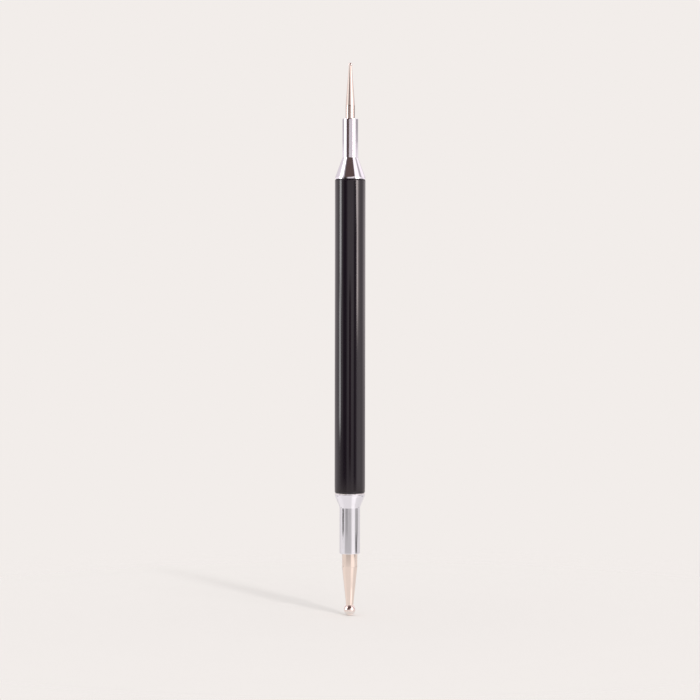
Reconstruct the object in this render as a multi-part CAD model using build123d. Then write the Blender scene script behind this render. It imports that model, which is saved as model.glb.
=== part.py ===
from build123d import *
import math
import os

# A double-ended embossing stylus: a black tube handle with a turned ferrule at each end,
# and in each ferrule a steel stem with a ball brazed on its tip. Lengths are millimetres.
# The origin is the lowest point of the large ball, and +Z runs along the tool's axis to
# the small ball.

# Handle tube
handle_diameter = 8.0
handle_length = 82.1
handle_wall = 1.0
handle_edge_across = 0.42
handle_edge_along = 0.5
handle_bore_chamfer = 0.2

# Collar inset and spigot, alike on both ferrules
collar_inset = 0.05
spigot_length = 11.0
spigot_gap = 0.02
spigot_lead_in = 0.4
groove_count = 2
groove_width = 2.0
groove_depth = 0.35
vent_diameter = 1.5

# Fit of a stem in its ferrule
shank_gap = 0.01
shank_lead_in = 0.25
mouth_chamfer = 0.12
mouth_bore_chamfer = 0.08

# Large end
large_collar_thickness = 0.69
large_collar_round = 2.0
large_flare_length = 2.95
large_flare_fillet = 1.5
large_neck_diameter = 5.4
large_neck_length = 12.24
large_bore_depth = 9.0
large_stem_diameter = 4.0
large_stem_straight = 3.55
large_stem_taper = 10.0
large_stem_round = 4.0
large_waist_diameter = 1.86
large_ball_diameter = 3.0

# Small end
small_collar_thickness = 0.42
small_cone_length = 5.14
small_neck_diameter = 4.1
small_neck_length = 10.2
small_bore_depth = 8.0
small_stem_diameter = 2.4
small_stem_straight = 3.35
small_stem_taper = 10.4
small_stem_round = 3.0
small_waist_diameter = 0.8
small_ball_diameter = 1.05

# Radii that the tube, the spigots and the bonds share
handle_radius = handle_diameter / 2
tube_bore_radius = handle_radius - handle_wall
spigot_radius = tube_bore_radius - spigot_gap
groove_radius = spigot_radius - groove_depth
vent_radius = vent_diameter / 2


def turned(outline):
    """The solid that a lathe makes of a closed outline of radii and heights."""
    return revolve(Plane.XZ * make_face(outline), axis=Axis.Z)


def rounded(points, roundings):
    """A closed outline of straight lines. Roundings gives the radius at each rounded corner."""
    radii = [roundings.get(point, 0) for point in points]
    return FilletPolyline(*points, radius=radii, close=True)


def rolled_edge(height, start_angle):
    """A quarter oval on the handle's outer edge, centred at that height."""
    return EllipticalCenterArc(
        (handle_radius - handle_edge_across, height),
        handle_edge_across,
        handle_edge_along,
        start_angle=start_angle,
        arc_size=90,
    )


def handle_tube():
    """A drawn tube, its outer edges rolled over and its bore chamfered for the spigots."""
    low_edge = rolled_edge(handle_edge_along, 270)
    high_edge = rolled_edge(handle_length - handle_edge_along, 0)
    wall = Line(low_edge @ 1, high_edge @ 0)
    bore = Polyline(
        high_edge @ 1,
        (tube_bore_radius + handle_bore_chamfer, handle_length),
        (tube_bore_radius, handle_length - handle_bore_chamfer),
        (tube_bore_radius, handle_bore_chamfer),
        (tube_bore_radius + handle_bore_chamfer, 0),
        low_edge @ 0,
    )
    return turned([low_edge, wall, high_edge, bore])


def groove_spans():
    """Both ends of each glue groove. They share the spigot's length out evenly."""
    pitch = spigot_length / (groove_count + 1)
    middles = [-pitch * number for number in range(groove_count, 0, -1)]
    return [(middle - groove_width / 2, middle + groove_width / 2) for middle in middles]


def ferrule(
    collar_thickness,
    collar_round,
    cone_length,
    cone_fillet,
    neck_diameter,
    neck_length,
    bore_depth,
    stem_diameter,
):
    """A turned ferrule. Height 0 is the tube's end face, and the neck points up.

    Below that face its grooved spigot fits the tube. A vent joins the stem's bore to the
    inside of the tube, and the step between them is the floor that the stem seats on.
    """
    neck_radius = neck_diameter / 2
    bore_radius = stem_diameter / 2 + shank_gap
    collar_radius = handle_radius - collar_inset
    cone_top = collar_thickness + cone_length
    mouth = cone_top + neck_length
    bore_floor = mouth - bore_depth
    spigot = [
        (vent_radius, -spigot_length),
        (spigot_radius - spigot_lead_in, -spigot_length),
        (spigot_radius, spigot_lead_in - spigot_length),
    ]
    for low, high in groove_spans():
        spigot.append((spigot_radius, low))
        spigot.append((groove_radius, low))
        spigot.append((groove_radius, high))
        spigot.append((spigot_radius, high))
    collar_corner = (collar_radius, collar_thickness)
    cone_corner = (neck_radius, cone_top)
    outside = [
        (spigot_radius, 0),
        (collar_radius, 0),
        collar_corner,
        cone_corner,
        (neck_radius, mouth - mouth_chamfer),
        (neck_radius - mouth_chamfer, mouth),
    ]
    bore = [
        (bore_radius + mouth_bore_chamfer, mouth),
        (bore_radius, mouth - mouth_bore_chamfer),
        (bore_radius, bore_floor),
        (vent_radius, bore_floor),
    ]
    roundings = {collar_corner: collar_round, cone_corner: cone_fillet}
    return turned(rounded(spigot + outside + bore, roundings))


def bond():
    """Cured adhesive: a ring in each of the spigot's grooves, out to the tube's wall."""
    rings = []
    for low, high in groove_spans():
        corners = [
            (groove_radius, low),
            (tube_bore_radius, low),
            (tube_bore_radius, high),
            (groove_radius, high),
        ]
        rings.append(turned(Polyline(*corners, close=True)))
    return Part() + rings


def ball_rise(waist_diameter, ball_diameter):
    """How far the ball's centre stands past the rim that it sits on, as wide as the waist."""
    return math.sqrt(ball_diameter**2 - waist_diameter**2) / 2


def ball(rim, waist_diameter, ball_diameter):
    """The ball tip, seated on the rim of the stem's countersink."""
    return Pos(0, 0, rim + ball_rise(waist_diameter, ball_diameter)) * Sphere(ball_diameter / 2)


def stem(bore_floor, shoulder, rim, rounding, stem_diameter, waist_diameter, ball_diameter):
    """A turned stem from its bore's floor to its waist, countersunk for the ball.

    The countersink is tangent to the ball at the rim, so the ball seats all round it.
    """
    stem_radius = stem_diameter / 2
    waist_radius = waist_diameter / 2
    countersink_depth = waist_radius**2 / ball_rise(waist_diameter, ball_diameter)
    shoulder_corner = (stem_radius, shoulder)
    points = [
        (0, bore_floor),
        (stem_radius - shank_lead_in, bore_floor),
        (stem_radius, bore_floor + shank_lead_in),
        shoulder_corner,
        (waist_radius, rim),
        (0, rim - countersink_depth),
    ]
    return turned(rounded(points, {shoulder_corner: rounding}))


# Heights above the tube's end face, at each end
large_mouth = large_collar_thickness + large_flare_length + large_neck_length
large_shoulder = large_mouth + large_stem_straight
large_rim = large_shoulder + large_stem_taper
small_mouth = small_collar_thickness + small_cone_length + small_neck_length
small_shoulder = small_mouth + small_stem_straight
small_rim = small_shoulder + small_stem_taper

large_ferrule = ferrule(
    large_collar_thickness,
    large_collar_round,
    large_flare_length,
    large_flare_fillet,
    large_neck_diameter,
    large_neck_length,
    large_bore_depth,
    large_stem_diameter,
)
small_ferrule = ferrule(
    small_collar_thickness,
    0,
    small_cone_length,
    0,
    small_neck_diameter,
    small_neck_length,
    small_bore_depth,
    small_stem_diameter,
)
large_stem = stem(
    large_mouth - large_bore_depth,
    large_shoulder,
    large_rim,
    large_stem_round,
    large_stem_diameter,
    large_waist_diameter,
    large_ball_diameter,
)
small_stem = stem(
    small_mouth - small_bore_depth,
    small_shoulder,
    small_rim,
    small_stem_round,
    small_stem_diameter,
    small_waist_diameter,
    small_ball_diameter,
)
large_ball = ball(large_rim, large_waist_diameter, large_ball_diameter)
small_ball = ball(small_rim, small_waist_diameter, small_ball_diameter)

# The tube's lower end stands above the origin by all that the large end sticks out of it
large_centre = large_rim + ball_rise(large_waist_diameter, large_ball_diameter)
tube_bottom = large_centre + large_ball_diameter / 2
tube_top = tube_bottom + handle_length
at_large_end = Pos(0, 0, tube_bottom) * Rot(180, 0, 0)
at_small_end = Pos(0, 0, tube_top)

pieces = {
    "handle_tube": Pos(0, 0, tube_bottom) * handle_tube(),
    "large_ferrule": at_large_end * large_ferrule,
    "large_stem": at_large_end * large_stem,
    "large_ball": at_large_end * large_ball,
    "large_bond": at_large_end * bond(),
    "small_ferrule": at_small_end * small_ferrule,
    "small_stem": at_small_end * small_stem,
    "small_ball": at_small_end * small_ball,
    "small_bond": at_small_end * bond(),
}

os.makedirs("parts", exist_ok=True)
for name, piece in pieces.items():
    export_step(piece, f"parts/{name}.step")
    box = piece.bounding_box()
    print(f"{name}: z {box.min.Z:.3f} to {box.max.Z:.3f}, diameter {box.size.X:.3f}")
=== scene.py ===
import math

import bmesh
import bpy
from mathutils import Matrix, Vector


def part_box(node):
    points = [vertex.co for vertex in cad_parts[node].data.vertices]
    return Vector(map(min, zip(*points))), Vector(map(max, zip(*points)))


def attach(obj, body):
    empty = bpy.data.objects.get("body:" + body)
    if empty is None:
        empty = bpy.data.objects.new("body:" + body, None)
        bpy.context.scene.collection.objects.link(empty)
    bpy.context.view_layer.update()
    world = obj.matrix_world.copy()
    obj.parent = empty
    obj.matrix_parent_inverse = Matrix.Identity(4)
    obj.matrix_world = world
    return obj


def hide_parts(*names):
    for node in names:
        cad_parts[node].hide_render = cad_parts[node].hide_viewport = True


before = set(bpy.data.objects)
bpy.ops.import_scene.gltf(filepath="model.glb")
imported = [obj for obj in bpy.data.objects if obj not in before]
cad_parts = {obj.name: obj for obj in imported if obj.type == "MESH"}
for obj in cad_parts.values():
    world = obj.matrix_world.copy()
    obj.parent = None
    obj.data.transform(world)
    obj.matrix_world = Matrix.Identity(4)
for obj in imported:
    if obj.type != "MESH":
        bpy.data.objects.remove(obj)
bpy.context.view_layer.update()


# Handle tube. A seamless aluminium tube with its ends rolled over, bare inside, and sprayed
# outside in gloss black lacquer. A ferrule is glued into each end by its spigot.
# The pieces' lengths are in millimetres. The two distances up here are in metres.
MM = 0.001
SPIN_STEPS = 192
MERGE_DISTANCE = 1e-7
SAME_PLACE = 2e-6
SMOOTH_ANGLE = math.radians(35)
BREAK_SEGMENTS = 4
ROUND_SEGMENTS = 8

handle_radius = 4.0
handle_bore_radius = 3.0
handle_bore_chamfer = 0.2
handle_edge_round = 0.46
handle_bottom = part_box("handle_tube")[0].z / MM
handle_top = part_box("handle_tube")[1].z / MM


def spin_outline(outline, closed):
    """Turns an outline of (radius, height) points in mm round the tool's axis, as a lathe does."""
    mesh = bmesh.new()
    points = [mesh.verts.new((radius * MM, 0, height * MM)) for radius, height in outline]
    following = points[1:] + points[:1] if closed else points[1:]
    lines = [mesh.edges.new(ends) for ends in zip(points, following)]
    bmesh.ops.spin(
        mesh,
        geom=points + lines,
        axis=(0, 0, 1),
        angle=math.tau,
        steps=SPIN_STEPS,
        use_merge=True,
    )
    bmesh.ops.remove_doubles(mesh, verts=mesh.verts, dist=MERGE_DISTANCE)
    bmesh.ops.recalc_face_normals(mesh, faces=mesh.faces)
    return mesh


def round_ring(mesh, radius, height, size, segments):
    """Rounds the corner that runs round the axis at that radius and height, all in mm."""

    def on_ring(point):
        off_radius = math.hypot(point.co.x, point.co.y) - radius * MM
        return max(abs(off_radius), abs(point.co.z - height * MM)) < SAME_PLACE

    ring = [edge for edge in mesh.edges if all(on_ring(point) for point in edge.verts)]
    bmesh.ops.bevel(
        mesh,
        geom=ring,
        offset=size * MM,
        offset_type="OFFSET",
        segments=segments,
        profile=0.5,
        affect="EDGES",
        material=-1,
    )


def cut_beside(mesh, corners):
    """Adds a ring beside each corner, which keeps the shading of the wall next to it straight.

    A corner is given by its height, and by how far above it the ring is, both in mm.
    """
    for height, above in corners:
        geometry = mesh.verts[:] + mesh.edges[:] + mesh.faces[:]
        bmesh.ops.bisect_plane(
            mesh,
            geom=geometry,
            dist=MERGE_DISTANCE,
            plane_co=(0, 0, (height + above) * MM),
            plane_no=(0, 0, 1),
        )


def add_piece(name, mesh, materials):
    """Makes a smooth-shaded object of a finished mesh, and puts it on the tool's only body."""
    data = bpy.data.meshes.new(name)
    mesh.to_mesh(data)
    mesh.free()
    for material in materials:
        data.materials.append(material)
    data.shade_smooth()
    data.set_sharp_from_angle(angle=SMOOTH_ANGLE)
    piece = bpy.data.objects.new(name, data)
    bpy.context.scene.collection.objects.link(piece)
    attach(piece, "root")
    return piece


def linear(hex_colour):
    """The linear colour, with alpha, of an sRGB colour written as six hex digits."""
    shares = [int(hex_colour[place : place + 2], 16) / 255 for place in (0, 2, 4)]
    return [s / 12.92 if s <= 0.04045 else ((s + 0.055) / 1.055) ** 2.4 for s in shares] + [1.0]


def add_node(tree, kind, settings, links):
    """Adds a node, sets its options and its inputs' values, and links inputs to other nodes."""
    node = tree.nodes.new(kind)
    for name, value in settings.items():
        if name == "stops":
            ramp = node.color_ramp.elements
            while len(ramp) < len(value):
                ramp.new(1.0)
            for element, (position, colour) in zip(ramp, value):
                element.position = position
                element.color = colour
        elif isinstance(name, int) or name in node.inputs:
            node.inputs[name].default_value = value
        else:
            setattr(node, name, value)
    for name, output in links.items():
        tree.links.new(output, node.inputs[name])
    return node


def new_material(name):
    """An empty node material, with its tree and the piece's own coordinates, in metres."""
    material = bpy.data.materials.new(name)
    material.use_nodes = True
    material.node_tree.nodes.clear()
    place = add_node(material.node_tree, "ShaderNodeTexCoord", {}, {})
    return material, material.node_tree, place.outputs["Object"]


# Sprayed gloss lacquer flows out flat but for a faint orange peel, so it mirrors the studio
# in clean streaks over black. Handling leaves some patches a little less glossy.
peel_width = 1.6
peel_depth = 0.0002
handled_patch_width = 5.0
lacquer, tree, place = new_material("black_gloss_lacquer")
orange_peel = add_node(
    tree, "ShaderNodeTexNoise", {"Scale": 1 / (peel_width * MM), "Detail": 1.0}, {"Vector": place}
)
peel_bump = add_node(
    tree,
    "ShaderNodeBump",
    {"Strength": 1.0, "Distance": peel_depth * MM},
    {"Height": orange_peel.outputs[0]},
)
handling = add_node(
    tree,
    "ShaderNodeTexNoise",
    {"Scale": 1 / (handled_patch_width * MM), "Detail": 4.0},
    {"Vector": place},
)
gloss = add_node(
    tree,
    "ShaderNodeMapRange",
    {"From Min": 0.3, "From Max": 0.75, "To Min": 0.035, "To Max": 0.055},
    {"Value": handling.outputs[0]},
)
pigment = add_node(
    tree,
    "ShaderNodeMix",
    {"data_type": "RGBA", 6: linear("161017"), 7: linear("1A121B")},
    {0: handling.outputs[0]},
)
coated = add_node(
    tree,
    "ShaderNodeBsdfPrincipled",
    {"IOR": 1.5},
    {
        "Base Color": pigment.outputs[2],
        "Roughness": gloss.outputs[0],
        "Normal": peel_bump.outputs[0],
    },
)
add_node(tree, "ShaderNodeOutputMaterial", {}, {"Surface": coated.outputs[0]})

# Drawn aluminium, the bare bore of the tube: a soft grey with fine lines along the draw.
draw_line_width = 0.1
draw_line_length = 20
aluminium, tree, place = new_material("drawn_aluminium")
along_draw = add_node(
    tree,
    "ShaderNodeMapping",
    {
        "Scale": (
            1 / (draw_line_width * MM),
            1 / (draw_line_width * MM),
            1 / (draw_line_length * MM),
        )
    },
    {"Vector": place},
)
draw_lines = add_node(
    tree, "ShaderNodeTexNoise", {"Scale": 1.0, "Detail": 3.0}, {"Vector": along_draw.outputs[0]}
)
draw_roughness = add_node(
    tree,
    "ShaderNodeMapRange",
    {"To Min": 0.28, "To Max": 0.46},
    {"Value": draw_lines.outputs[0]},
)
drawn = add_node(
    tree,
    "ShaderNodeBsdfPrincipled",
    {"Base Color": linear("D3D5D8"), "Metallic": 1.0},
    {"Roughness": draw_roughness.outputs[0]},
)
add_node(tree, "ShaderNodeOutputMaterial", {}, {"Surface": drawn.outputs[0]})

mesh = spin_outline(
    [
        (handle_radius, handle_bottom),
        (handle_radius, handle_top),
        (handle_bore_radius + handle_bore_chamfer, handle_top),
        (handle_bore_radius, handle_top - handle_bore_chamfer),
        (handle_bore_radius, handle_bottom + handle_bore_chamfer),
        (handle_bore_radius + handle_bore_chamfer, handle_bottom),
    ],
    True,
)
# The bore and its chamfers are bare. The margin takes in the chamfers' outer edges.
bare_margin = 0.01
bare_limit = (handle_bore_radius + handle_bore_chamfer + bare_margin) * MM
for face in mesh.faces:
    if all(math.hypot(point.co.x, point.co.y) < bare_limit for point in face.verts):
        face.material_index = 1
round_ring(mesh, handle_radius, handle_bottom, handle_edge_round, ROUND_SEGMENTS)
round_ring(mesh, handle_radius, handle_top, handle_edge_round, ROUND_SEGMENTS)
cut_beside(
    mesh,
    [(handle_bottom + handle_edge_round, 0.04), (handle_top - handle_edge_round, -0.04)],
)
tube = add_piece("lacquered_tube", mesh, [lacquer, aluminium])
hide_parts("handle_tube")


# Large ferrule. Turned from bar with a collar, a short flare, a filleted neck and a grooved
# spigot, then nickel and chrome plated, and glued into the tube's lower end.
ferrule_collar_radius = 3.95
ferrule_spigot_radius = 2.98
ferrule_spigot_lead_in = 0.4
ferrule_groove_radius = 2.63
ferrule_groove_width = 2.0
ferrule_spigot_length = 11.0
ferrule_vent_radius = 0.75
mouth_chamfer = 0.12
mouth_corner_break = 0.04
mouth_bore_chamfer = 0.08

large_collar_thickness = 0.69
large_collar_round = 0.406
large_neck_radius = 2.7
large_flare_length = 2.95
large_flare_fillet = 0.305
large_bore_radius = 2.01
large_bore_depth = 9.0
large_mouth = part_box("large_ferrule")[0].z / MM


def ferrule_outline(face, mouth, collar_thickness, cone_length, neck_radius, bore_radius, bore_depth):
    """A ferrule's outline, outwards from the tube's end face at one height to its mouth."""
    lead_in_end = ferrule_spigot_length - ferrule_spigot_lead_in
    inner_points = [
        (ferrule_vent_radius, -ferrule_spigot_length),
        (ferrule_spigot_radius - ferrule_spigot_lead_in, -ferrule_spigot_length),
        (ferrule_spigot_radius, -lead_in_end),
    ]
    for share in (2 / 3, 1 / 3):
        middle = -share * ferrule_spigot_length
        start = middle - ferrule_groove_width / 2
        end = middle + ferrule_groove_width / 2
        inner_points += [
            (ferrule_spigot_radius, start),
            (ferrule_groove_radius, start),
            (ferrule_groove_radius, end),
            (ferrule_spigot_radius, end),
        ]
    reach = abs(mouth - face)
    outer_points = [
        (ferrule_spigot_radius, 0),
        (ferrule_collar_radius, 0),
        (ferrule_collar_radius, collar_thickness),
        (neck_radius, collar_thickness + cone_length),
        (neck_radius, reach - mouth_chamfer),
        (neck_radius - mouth_chamfer, reach),
        (bore_radius + mouth_bore_chamfer, reach),
        (bore_radius, reach - mouth_bore_chamfer),
        (bore_radius, reach - bore_depth),
        (ferrule_vent_radius, reach - bore_depth),
    ]
    outward = math.copysign(1, mouth - face)
    return [(radius, face + outward * out) for radius, out in inner_points + outer_points]


def turning_marks(tree, place, length, spacing, depth):
    """The fine marks that a lathe leaves round a piece, sizes in mm: their bump and pattern."""
    round_axis = add_node(
        tree,
        "ShaderNodeMapping",
        {"Scale": (1 / (length * MM), 1 / (length * MM), 1 / (spacing * MM))},
        {"Vector": place},
    )
    marks = add_node(
        tree, "ShaderNodeTexNoise", {"Scale": 1.0, "Detail": 2.0}, {"Vector": round_axis.outputs[0]}
    )
    bump = add_node(
        tree,
        "ShaderNodeBump",
        {"Strength": 1.0, "Distance": depth * MM},
        {"Height": marks.outputs[0]},
    )
    return bump.outputs[0], marks.outputs[0]


# Bright chrome over nickel on a turned surface. It mirrors the room with a slightly blue
# cast. Its tool marks are drawn 0.15 mm apart, coarser than real ones, so that they show.
chrome_mark_length = 6.0
chrome_mark_spacing = 0.15
chrome_mark_depth = 0.00012
polished_patch_width = 2.5
chrome, tree, place = new_material("polished_chrome_plate")
chrome_bump, _ = turning_marks(
    tree, place, chrome_mark_length, chrome_mark_spacing, chrome_mark_depth
)
polish = add_node(
    tree,
    "ShaderNodeTexNoise",
    {"Scale": 1 / (polished_patch_width * MM), "Detail": 5.0},
    {"Vector": place},
)
polish_roughness = add_node(
    tree,
    "ShaderNodeMapRange",
    {"From Min": 0.3, "From Max": 0.7, "To Min": 0.04, "To Max": 0.09},
    {"Value": polish.outputs[0]},
)
plated = add_node(
    tree,
    "ShaderNodeBsdfPrincipled",
    {"Base Color": linear("EDECF4"), "Metallic": 1.0},
    {"Roughness": polish_roughness.outputs[0], "Normal": chrome_bump},
)
add_node(tree, "ShaderNodeOutputMaterial", {}, {"Surface": plated.outputs[0]})

large_collar_end = handle_bottom - large_collar_thickness
large_flare_end = large_collar_end - large_flare_length
mesh = spin_outline(
    ferrule_outline(
        handle_bottom,
        large_mouth,
        large_collar_thickness,
        large_flare_length,
        large_neck_radius,
        large_bore_radius,
        large_bore_depth,
    ),
    True,
)
round_ring(mesh, ferrule_collar_radius, large_collar_end, large_collar_round, ROUND_SEGMENTS)
round_ring(mesh, large_neck_radius, large_flare_end, large_flare_fillet, ROUND_SEGMENTS)
round_ring(mesh, large_neck_radius, large_mouth + mouth_chamfer, mouth_corner_break, BREAK_SEGMENTS)
cut_beside(
    mesh,
    [
        (large_collar_end + large_collar_round, 0.04),
        (large_collar_end, -0.42),
        (large_flare_end, 0.33),
        (large_flare_end, -0.35),
        (large_mouth + mouth_chamfer, 0.07),
    ],
)
lower_ferrule = add_piece("large_ferrule_chromed", mesh, [chrome])
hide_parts("large_ferrule")


# Small ferrule. A thinner collar and the same spigot, then a longer straight cone that meets
# a slimmer neck at a sharp corner. It is turned, plated and glued in as the large one is.
small_collar_thickness = 0.42
small_collar_break = 0.06
small_neck_radius = 2.05
small_cone_length = 5.14
small_cone_corner_break = 0.03
small_bore_radius = 1.21
small_bore_depth = 8.0
small_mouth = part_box("small_ferrule")[1].z / MM
small_collar_end = handle_top + small_collar_thickness
small_cone_end = small_collar_end + small_cone_length

mesh = spin_outline(
    ferrule_outline(
        handle_top,
        small_mouth,
        small_collar_thickness,
        small_cone_length,
        small_neck_radius,
        small_bore_radius,
        small_bore_depth,
    ),
    True,
)
round_ring(mesh, ferrule_collar_radius, small_collar_end, small_collar_break, BREAK_SEGMENTS)
round_ring(mesh, small_neck_radius, small_cone_end, small_cone_corner_break, BREAK_SEGMENTS)
round_ring(mesh, small_neck_radius, small_mouth - mouth_chamfer, mouth_corner_break, BREAK_SEGMENTS)
cut_beside(
    mesh,
    [
        (small_collar_end - small_collar_break, -0.03),
        (small_collar_end, 0.09),
        (small_cone_end, -0.06),
        (small_cone_end, 0.06),
        (small_mouth - mouth_chamfer, -0.07),
    ],
)
upper_ferrule = add_piece("small_ferrule_chromed", mesh, [chrome])
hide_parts("small_ferrule")


# Large stem. Turned steel, pressed into the ferrule's bore: a short cylinder, then a long
# taper to the waist, where it is countersunk for the ball. Its thin plating is champagne.
large_stem_radius = 2.0
large_waist_radius = 0.93
large_stem_straight = 3.55
large_shoulder_round = 0.213
large_countersink = 0.735
shank_lead_in = 0.25
large_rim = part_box("large_stem")[0].z / MM
large_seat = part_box("large_stem")[1].z / MM
large_shoulder = large_mouth - large_stem_straight


def stem_outline(seat, shoulder, rim, radius, waist_radius, countersink):
    """A stem's outline, from the middle of its seat to the bottom of its countersink."""
    outward = math.copysign(1, rim - seat)
    return [
        (0, seat),
        (radius - shank_lead_in, seat),
        (radius, seat + outward * shank_lead_in),
        (radius, shoulder),
        (waist_radius, rim),
        (0, rim - outward * countersink),
    ]


# Polished steel under a thin champagne plating. It is a little softer than the chrome, and
# its marks are drawn 0.12 mm apart, again coarser than real ones.
stem_mark_length = 4.0
stem_mark_spacing = 0.12
stem_mark_depth = 0.0002
plating_patch_width = 3.0
stem_steel, tree, place = new_material("champagne_plated_steel")
stem_bump, stem_marks = turning_marks(
    tree, place, stem_mark_length, stem_mark_spacing, stem_mark_depth
)
plating_tone = add_node(
    tree,
    "ShaderNodeTexNoise",
    {"Scale": 1 / (plating_patch_width * MM), "Detail": 3.0},
    {"Vector": place},
)
champagne = add_node(
    tree,
    "ShaderNodeMix",
    {"data_type": "RGBA", 6: linear("F0E1D8"), 7: linear("EDDCD3")},
    {0: plating_tone.outputs[0]},
)
stem_roughness = add_node(
    tree,
    "ShaderNodeMapRange",
    {"To Min": 0.05, "To Max": 0.09},
    {"Value": stem_marks},
)
steel = add_node(
    tree,
    "ShaderNodeBsdfPrincipled",
    {"Metallic": 1.0},
    {
        "Base Color": champagne.outputs[2],
        "Roughness": stem_roughness.outputs[0],
        "Normal": stem_bump,
    },
)
add_node(tree, "ShaderNodeOutputMaterial", {}, {"Surface": steel.outputs[0]})

mesh = spin_outline(
    stem_outline(
        large_seat,
        large_shoulder,
        large_rim,
        large_stem_radius,
        large_waist_radius,
        large_countersink,
    ),
    False,
)
round_ring(mesh, large_stem_radius, large_shoulder, large_shoulder_round, BREAK_SEGMENTS)
cut_beside(mesh, [(large_shoulder, 0.3), (large_shoulder, -0.3), (large_rim, 0.15)])
lower_stem = add_piece("large_stem_turned", mesh, [stem_steel])
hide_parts("large_stem")


# Small stem. The same steel and finish, slimmer, with a slightly longer taper that ends at a
# waist under a millimetre across.
small_stem_radius = 1.2
small_waist_radius = 0.4
small_stem_straight = 3.35
small_shoulder_round = 0.115
small_countersink = 0.47
small_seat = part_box("small_stem")[0].z / MM
small_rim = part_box("small_stem")[1].z / MM
small_shoulder = small_mouth + small_stem_straight

mesh = spin_outline(
    stem_outline(
        small_seat,
        small_shoulder,
        small_rim,
        small_stem_radius,
        small_waist_radius,
        small_countersink,
    ),
    False,
)
round_ring(mesh, small_stem_radius, small_shoulder, small_shoulder_round, BREAK_SEGMENTS)
cut_beside(mesh, [(small_shoulder, -0.2), (small_shoulder, 0.2), (small_rim, -0.1)])
upper_stem = add_piece("small_stem_turned", mesh, [stem_steel])
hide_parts("small_stem")


# Ball tips. Hard bearing balls, brazed on the rims of the stems' countersinks and plated
# with them. They are the working ends, so they are polished the brightest.
BALL_STEPS = 96
rubbed_patch_width = 0.4
ball_steel, tree, place = new_material("plated_bearing_steel")
use_marks = add_node(
    tree,
    "ShaderNodeTexNoise",
    {"Scale": 1 / (rubbed_patch_width * MM), "Detail": 4.0},
    {"Vector": place},
)
ball_roughness = add_node(
    tree,
    "ShaderNodeMapRange",
    {"From Min": 0.35, "From Max": 0.7, "To Min": 0.03, "To Max": 0.09},
    {"Value": use_marks.outputs[0]},
)
bearing = add_node(
    tree,
    "ShaderNodeBsdfPrincipled",
    {"Base Color": linear("EEDFDA"), "Metallic": 1.0},
    {"Roughness": ball_roughness.outputs[0]},
)
add_node(tree, "ShaderNodeOutputMaterial", {}, {"Surface": bearing.outputs[0]})

for end in ("large", "small"):
    low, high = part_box(f"{end}_ball")
    mesh = bmesh.new()
    bmesh.ops.create_uvsphere(
        mesh,
        u_segments=BALL_STEPS,
        v_segments=BALL_STEPS // 2,
        radius=(high.z - low.z) / 2,
        matrix=Matrix.Translation((0, 0, (low.z + high.z) / 2)),
    )
    ball = add_piece(f"{end}_ball_polished", mesh, [ball_steel])
    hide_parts(f"{end}_ball")


# Bonds. Cured two-part adhesive, honey-coloured with a few trapped bubbles, in the grooves
# of both spigots. They are hidden inside the tube, and stay as they were packed.
bubble_spacing = 0.5
adhesive, tree, place = new_material("cured_epoxy_adhesive")
bubbles = add_node(
    tree, "ShaderNodeTexVoronoi", {"Scale": 1 / (bubble_spacing * MM)}, {"Vector": place}
)
honey = add_node(
    tree,
    "ShaderNodeMix",
    {"data_type": "RGBA", 6: linear("D9C79A"), 7: linear("BFA56A")},
    {0: bubbles.outputs["Distance"]},
)
resin = add_node(
    tree,
    "ShaderNodeBsdfPrincipled",
    {"Roughness": 0.2, "IOR": 1.55},
    {"Base Color": honey.outputs[2]},
)
add_node(tree, "ShaderNodeOutputMaterial", {}, {"Surface": resin.outputs[0]})

for name in ("large_bond", "small_bond"):
    for material_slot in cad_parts[name].material_slots:
        material_slot.material = adhesive


# Floor. A matt table top in the backdrop's colour, which keeps the tool's shadow. It fades
# out with distance, so that no edge of it shows and the shadow gets fainter outwards. Its
# mirror image in the chrome reaches further. There its colour carries painted pools of light and
# painted shade, which stand in for the studio's light on the table.
BACKDROP = "F2EDEA"
WHITE = "FFFFFF"
COOL_TONE = "F3FDFF"
ALL_ROUND = (-200, 200, 1)
NO_END = 9999
# Painted shade: the mirrored floor's colour dims from near_light to far_light between these distances
# in mm
near_light = 1.0
far_light = 0.88
far_light_start = 105
far_light_end = 175
floor_radius = 1.1
floor_fade_start = 0.05
floor_fade_end = 0.18
mirrored_fade_start = 0.35
mirrored_fade_end = 0.42


def bearing_in(tree, axes):
    """The direction that a vector points in, in degrees to the right of the camera."""
    forward = add_node(
        tree, "ShaderNodeMath", {"operation": "MULTIPLY", 1: -1.0}, {0: axes.outputs["Y"]}
    )
    turn = add_node(
        tree,
        "ShaderNodeMath",
        {"operation": "ARCTAN2"},
        {0: axes.outputs["X"], 1: forward.outputs[0]},
    )
    degrees = add_node(tree, "ShaderNodeMath", {"operation": "DEGREES"}, {0: turn.outputs[0]})
    return degrees.outputs[0]


def between(tree, value, low, high, soft):
    """1 where a value lies from low to high and 0 elsewhere, over edges as wide as soft."""
    sides = []
    for edge, before, after in ((low, 0.0, 1.0), (high, 1.0, 0.0)):
        side = add_node(
            tree,
            "ShaderNodeMapRange",
            {
                "interpolation_type": "SMOOTHSTEP",
                "From Min": edge - soft / 2,
                "From Max": edge + soft / 2,
                "To Min": before,
                "To Max": after,
            },
            {"Value": value},
        )
        sides.append(side.outputs[0])
    inside = add_node(tree, "ShaderNodeMath", {"operation": "MULTIPLY"}, {0: sides[0], 1: sides[1]})
    return inside.outputs[0]


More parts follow.
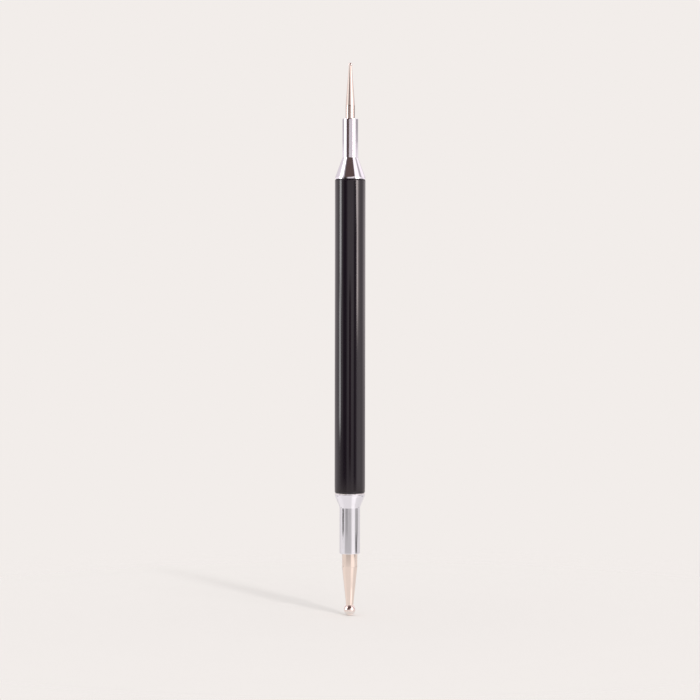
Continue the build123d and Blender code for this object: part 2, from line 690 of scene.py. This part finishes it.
def lay_patches(tree, colour, bearing, along, patches):
    """Lays soft-edged patches over a colour, each over those before it.

    A patch has its left and right sides in degrees and their softness, its two ends along
    the other value and their softness, its colour and its brightness. One that goes all
    round starts with ALL_ROUND.
    """
    for left, right, side_soft, start, end, end_soft, tint, brightness in patches:
        across = between(tree, bearing, left, right, side_soft)
        lengthwise = between(tree, along, start, end, end_soft)
        cover = add_node(tree, "ShaderNodeMath", {"operation": "MULTIPLY"}, {0: across, 1: lengthwise})
        shade = [share * brightness for share in linear(tint)[:3]] + [1.0]
        laid = add_node(
            tree,
            "ShaderNodeMix",
            {"data_type": "RGBA", 7: shade},
            {0: cover.outputs[0], 6: colour},
        )
        colour = laid.outputs[2]
    return colour


table_top, tree, place = new_material("matt_table_top")
ray = add_node(tree, "ShaderNodeLightPath", {}, {})
floor_place = add_node(tree, "ShaderNodeSeparateXYZ", {}, {0: place})
away = add_node(tree, "ShaderNodeVectorMath", {"operation": "LENGTH"}, {0: place})
away_mm = add_node(
    tree, "ShaderNodeMath", {"operation": "DIVIDE", 1: MM}, {0: away.outputs["Value"]}
)
fade_start = add_node(
    tree,
    "ShaderNodeMapRange",
    {"To Min": floor_fade_start, "To Max": mirrored_fade_start},
    {"Value": ray.outputs["Is Glossy Ray"]},
)
fade_end = add_node(
    tree,
    "ShaderNodeMapRange",
    {"To Min": floor_fade_end, "To Max": mirrored_fade_end},
    {"Value": ray.outputs["Is Glossy Ray"]},
)
fade = add_node(
    tree,
    "ShaderNodeMapRange",
    {"interpolation_type": "SMOOTHSTEP"},
    {
        "Value": away.outputs["Value"],
        "From Min": fade_start.outputs[0],
        "From Max": fade_end.outputs[0],
    },
)
# Painted shade that deepens with distance from the tool, in the colour that the chrome mirrors
painted_light_falloff = add_node(
    tree,
    "ShaderNodeMapRange",
    {
        "interpolation_type": "SMOOTHSTEP",
        "From Min": far_light_start,
        "From Max": far_light_end,
        "To Min": near_light,
        "To Max": far_light,
    },
    {"Value": away_mm.outputs[0]},
)
# Each painted pool, lighter or darker than the floor: sides and softness in degrees, ends
# and softness in mm from the tool, colour and brightness
painted_light_pools = lay_patches(
    tree,
    painted_light_falloff.outputs[0],
    bearing_in(tree, floor_place),
    away_mm.outputs[0],
    (
        # Far out, painted light and shade: beside the softboxes, in front with its darker middle, and
        # to the right
        (-118, -96, 14, 140, NO_END, 70, WHITE, 1.0),
        (-56, 14, 10, 140, NO_END, 70, WHITE, 0.62),
        (-45, -22, 8, 225, NO_END, 40, WHITE, 0.44),
        (24, 57, 14, 140, NO_END, 70, WHITE, 1.18),
        # Under the softboxes: the painted shade of each, and painted light on the floor before the
        # left one
        (64, 104, 10, 215, 382, 30, WHITE, 0.48),
        (64, 90, 10, 150, 225, 30, WHITE, 0.18),
        (-118, -62, 14, 140, 232, 24, WHITE, 1.0),
        (-91, -70, 5, 228, 382, 24, WHITE, 0.12),
        # Close by: the painted light of both softboxes, less behind, and three painted darker streaks
        # of shade
        (-200, -135, 20, 10, 120, 20, WHITE, 0.90),
        (-130, -75, 30, 10, 120, 20, WHITE, 1.10),
        (20, 60, 20, 20, 120, 20, WHITE, 1.20),
        (20, 60, 16, 4, 23, 8, WHITE, 1.50),
        (20, 58, 16, 30, 60, 10, WHITE, 1.32),
        (20, 78, 16, 104, 156, 20, WHITE, 1.36),
        (80, 150, 30, 10, 120, 20, WHITE, 0.95),
        (104, 126, 8, 92, 118, 14, WHITE, 0.45),
        (-176, -158, 8, 92, 118, 14, WHITE, 0.45),
        (-120, -102, 8, 92, 118, 14, WHITE, 0.50),
        # Right under the ball: painted light that lightens its mirrored shadow
        (*ALL_ROUND, -9, 3.2, 2.0, COOL_TONE, 1.15),
        (*ALL_ROUND, -9, 1.1, 0.6, COOL_TONE, 1.50),
    ),
)
# For mirrored rays, the floor's colour is the backdrop's multiplied by the painted pools of light and
# shade
mirrored_colour = add_node(
    tree,
    "ShaderNodeMix",
    {"data_type": "RGBA", "blend_type": "MULTIPLY", 6: linear(BACKDROP)},
    {0: ray.outputs["Is Glossy Ray"], 7: painted_light_pools},
)
matt = add_node(tree, "ShaderNodeBsdfDiffuse", {}, {"Color": mirrored_colour.outputs[2]})
clear = add_node(tree, "ShaderNodeBsdfTransparent", {}, {})
surface = add_node(
    tree, "ShaderNodeMixShader", {}, {0: fade.outputs[0], 1: matt.outputs[0], 2: clear.outputs[0]}
)
add_node(tree, "ShaderNodeOutputMaterial", {}, {"Surface": surface.outputs[0]})

mesh = bmesh.new()
bmesh.ops.create_circle(mesh, cap_ends=True, radius=floor_radius, segments=128)
data = bpy.data.meshes.new("floor")
mesh.to_mesh(data)
mesh.free()
data.materials.append(table_top)
floor = bpy.data.objects.new("floor", data)
bpy.context.scene.collection.objects.link(floor)


# Studio. A small key lamp from the front right casts the long shadow. A broad reflector on
# the same side casts a soft one by the ball. The room's even light fills both shadows.
# Their shares of the floor's light add up to 1, at which a colour shows as it is written.
key_share = 0.09
reflector_share = 0.07
room_share = 1 - key_share - reflector_share
lamp_side_angle = 27.2

for name, share, height_angle, spread in (
    ("key", key_share, 44.0, 4),
    ("reflector", reflector_share, 24.0, 40),
):
    lamp = bpy.data.lights.new(name, "SUN")
    lamp.energy = share * math.pi / math.sin(math.radians(height_angle))
    lamp.angle = math.radians(spread)
    lamp_object = bpy.data.objects.new(name, lamp)
    bpy.context.scene.collection.objects.link(lamp_object)
    lamp_object.visible_glossy = False
    lamp_object.rotation_euler = (
        math.radians(90 - height_angle),
        0,
        math.radians(lamp_side_angle),
    )

# The room that the gloss and the metal mirror, in a slightly warm light
ROOM_TONE = "FFF5F7"
RIGHT_TONE = "FFF2F0"
CARD_TONE = "FFD2CB"
FAR_TABLE_TONE = "FFF0DC"
world = bpy.data.worlds.new("studio")
bpy.context.scene.world = world
world.use_nodes = True
tree = world.node_tree
tree.nodes.clear()

direction = add_node(tree, "ShaderNodeTexCoord", {}, {})
axes = add_node(tree, "ShaderNodeSeparateXYZ", {}, {0: direction.outputs["Generated"]})
bearing = bearing_in(tree, axes)
lift = add_node(tree, "ShaderNodeMath", {"operation": "ARCSINE"}, {0: axes.outputs["Z"]})
lift_degrees = add_node(tree, "ShaderNodeMath", {"operation": "DEGREES"}, {0: lift.outputs[0]})
turn_share = add_node(
    tree, "ShaderNodeMapRange", {"From Min": -180.0, "From Max": 180.0}, {"Value": bearing}
)

# The walls all round, from the backdrop by the left, the front and the right: brightness at
# each bearing, with a dark card on both sides of the camera
wall_stops = (
    (-180, 0.60),
    (-145, 0.85),
    (-110, 1.10),
    (-89, 0.95),
    (-70, 0.45),
    (-52, 0.18),
    (-45, 0.05),
    (-30, 0.05),
    (-20, 0.58),
    (25, 0.66),
    (29, 0.30),
    (33, 0.10),
    (43, 0.12),
    (50, 0.70),
    (57, 1.28),
    (78, 1.28),
    (98, 0.92),
    (120, 1.10),
    (140, 0.85),
    (180, 0.60),
)
walls = add_node(
    tree,
    "ShaderNodeValToRGB",
    {
        "stops": [
            ((angle + 180) / 360, [share * bright for share in linear(ROOM_TONE)[:3]] + [1.0])
            for angle, bright in wall_stops
        ]
    },
    {0: turn_share.outputs[0]},
)
# Each patch: sides and softness in degrees, ends and softness in degrees up, colour and
# brightness
room = lay_patches(
    tree,
    walls.outputs[0],
    bearing,
    lift_degrees.outputs[0],
    (
        # What views from above mirror beyond the table: cards and lamps all round
        (70, 84, 5, -60, -5.2, 1.0, RIGHT_TONE, 3.0),
        (104, 126, 8, -60, -5.2, 1.0, CARD_TONE, 0.15),
        (138, 150, 5, -60, -5.2, 1.0, RIGHT_TONE, 2.4),
        (-178, -160, 8, -60, -5.2, 1.0, CARD_TONE, 0.15),
        (-142, -128, 5, -60, -5.2, 1.0, WHITE, 2.6),
        (-120, -102, 8, -60, -5.2, 1.0, CARD_TONE, 0.20),
        (-88, -74, 5, -60, -5.2, 1.0, WHITE, 3.0),
        # The front wall between the dark cards, lower and higher
        (-18, 27, 5, -2.2, 3.4, 3.0, ROOM_TONE, 0.88),
        (-24, 25, 5, 3.4, 25, 0.6, ROOM_TONE, 0.71),
        (27, 40, 3, 1.9, 3.4, 0.6, ROOM_TONE, 0.38),
        # The side and back walls' upper parts
        (-165, -96, 20, 0.0, 3.4, 4.0, ROOM_TONE, 1.20),
        (112, 148, 12, -1.0, 3.4, 3.0, ROOM_TONE, 1.50),
        (-160, -104, 10, 3.9, 9, 0.5, ROOM_TONE, 0.55),
        (82, 160, 8, 3.9, 9, 0.5, ROOM_TONE, 0.45),
        # The camera on its stand, and the dark floor beyond the table
        (-8, 8, 3, -3.9, 0.6, 1.0, CARD_TONE, 0.10),
        (-26, 26, 6, -24, -4.9, 1.0, CARD_TONE, 0.11),
        # The left softbox, its spill, and the lighter wall above it
        (-72, -56, 8, -2.6, 60, 2.0, ROOM_TONE, 0.75),
        (-57, -47, 6, 2.0, 3.4, 1.0, ROOM_TONE, 0.42),
        (-91, -73, 4, -2.9, 0.4, 0.8, WHITE, 5.2),
        (-86, -69, 3, 0.4, 8, 1.6, WHITE, 6.5),
        (-100, -50, 8, 8, 18, 2.0, WHITE, 1.08),
        # The right softbox, wider higher up, its spill, and its faint top
        (60, 76, 8, -0.6, 8, 1.6, RIGHT_TONE, 1.8),
        (52, 68, 4, -0.2, 8, 1.8, RIGHT_TONE, 4.2),
        (51, 60, 2, -0.2, 8, 1.8, RIGHT_TONE, 9.5),
        (46.5, 53, 2, 2.3, 8, 0.6, RIGHT_TONE, 9.5),
        (43, 51, 2, 3.1, 8, 0.5, RIGHT_TONE, 9.5),
        (30, 43, 8, 3.6, 8, 0.6, RIGHT_TONE, 0.95),
        (22, 62, 8, 8, 25, 2.0, RIGHT_TONE, 2.2),
        # The left dark card, which leans towards the middle higher up
        (-54, -17, 3, 3.4, 4.6, 0.5, CARD_TONE, 0.11),
        (-43, -14, 3, 4.6, 9, 0.5, CARD_TONE, 0.11),
        (-38, -19, 3, 9, 25, 1.0, CARD_TONE, 0.11),
        # Above the softboxes: their upper halves, the walls and the dark cards over the camera
        (-91, -71, 4, 18, 42, 4, WHITE, 6.0),
        (47, 61, 4, 18, 33, 4, RIGHT_TONE, 8.0),
        (44, 66, 12, 36, 60, 6, ROOM_TONE, 1.3),
        (86, 108, 14, 16, 60, 8, ROOM_TONE, 0.50),
        (110, 152, 14, 12, 60, 8, ROOM_TONE, 1.15),
        (-150, -108, 14, 14, 60, 8, ROOM_TONE, 0.80),
        (-26, 14, 6, 5.6, 12, 1.0, CARD_TONE, 0.14),
        (-50, 5, 6, 17, 30, 5, CARD_TONE, 0.113),
        (-47, 39, 6, 28, 64, 5, CARD_TONE, 0.113),
        # The ceiling, and the table's far part
        (*ALL_ROUND, 66, 99, 10, CARD_TONE, 0.16),
        (*ALL_ROUND, -4.65, -4.3, 0.1, ROOM_TONE, 1.0),
        (*ALL_ROUND, -4.80, -4.42, 0.02, FAR_TABLE_TONE, 0.95),
    ),
)
mirrored = add_node(tree, "ShaderNodeBackground", {"Strength": 1.0}, {"Color": room})
ray = add_node(tree, "ShaderNodeLightPath", {}, {})
fill = add_node(
    tree, "ShaderNodeBackground", {"Color": (1, 1, 1, 1), "Strength": room_share}, {}
)
backdrop = add_node(
    tree, "ShaderNodeBackground", {"Color": linear(BACKDROP), "Strength": 1.0}, {}
)
seen_directly = add_node(
    tree,
    "ShaderNodeMath",
    {"operation": "MAXIMUM"},
    {0: ray.outputs["Is Camera Ray"], 1: ray.outputs["Is Transmission Ray"]},
)
lit_or_mirrored = add_node(
    tree,
    "ShaderNodeMixShader",
    {},
    {0: ray.outputs["Is Glossy Ray"], 1: fill.outputs[0], 2: mirrored.outputs[0]},
)
seen = add_node(
    tree,
    "ShaderNodeMixShader",
    {},
    {0: seen_directly.outputs[0], 1: lit_or_mirrored.outputs[0], 2: backdrop.outputs[0]},
)
add_node(tree, "ShaderNodeOutputWorld", {}, {"Surface": seen.outputs[0]})


# Camera. A long lens a little over half the tool's height, tilted slightly down.
camera_distance = 0.62
camera_height = 0.080
camera_tilt = 0.966
camera_roll = 0.07
camera_lens = 121.87
camera_sensor_width = 36.0
camera_data = bpy.data.cameras.new("camera")
camera_data.sensor_width = camera_sensor_width
camera_data.lens = camera_lens
camera = bpy.data.objects.new("camera", camera_data)
bpy.context.scene.collection.objects.link(camera)
camera.matrix_world = (
    Matrix.Translation((0, -camera_distance, camera_height))
    @ Matrix.Rotation(math.radians(90 - camera_tilt), 4, "X")
    @ Matrix.Rotation(math.radians(camera_roll), 4, "Z")
)
bpy.context.scene.camera = camera
bpy.context.scene.view_settings.view_transform = "Standard"
